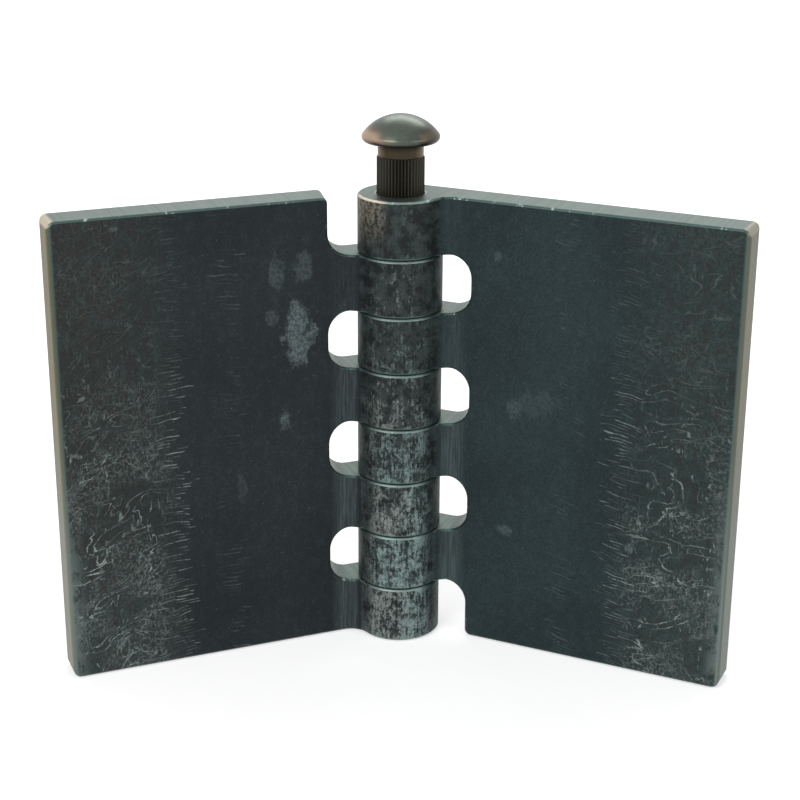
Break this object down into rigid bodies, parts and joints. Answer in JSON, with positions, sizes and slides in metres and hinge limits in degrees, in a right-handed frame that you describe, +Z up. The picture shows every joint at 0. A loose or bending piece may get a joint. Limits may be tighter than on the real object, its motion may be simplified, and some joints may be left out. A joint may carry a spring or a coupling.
{
  "type": "butt hinge",
  "caption": "Heavy weld-on butt hinge with blank leaves, interleaved knuckles and a raised, knurled, dome-headed pin.",
  "frame": {"origin": "on the pin's axis, in the plane of the lower edges", "axes": "+Z up the pin towards its head, +X towards the right leaf, -Y out of the open V"},
  "size_m": [0.217, 0.0569, 0.1776],
  "materials": {
    "leaf_steel": "dark mill scale, worn bright at the edges",
    "pin_steel": "dark bronze-grey oxide, semi-gloss on the head"
  },
  "bodies": {
    "left_half": {"left_leaf": "leaf_steel"},
    "right_half": {"right_leaf": "leaf_steel"},
    "pin": {"hinge_pin": "pin_steel"}
  },
  "joints": [
    {"name": "leaf_swing", "type": "hinge", "parent": "left_half", "child": "right_half", "pos_m": [0, 0, 0], "axis": [0, 0, 1], "range_deg": [-133, 145]},
    {"name": "pin_lift", "type": "slide", "parent": "right_half", "child": "pin", "axis": [0, 0, 1], "range_m": [0, 0.14]}
  ]
}
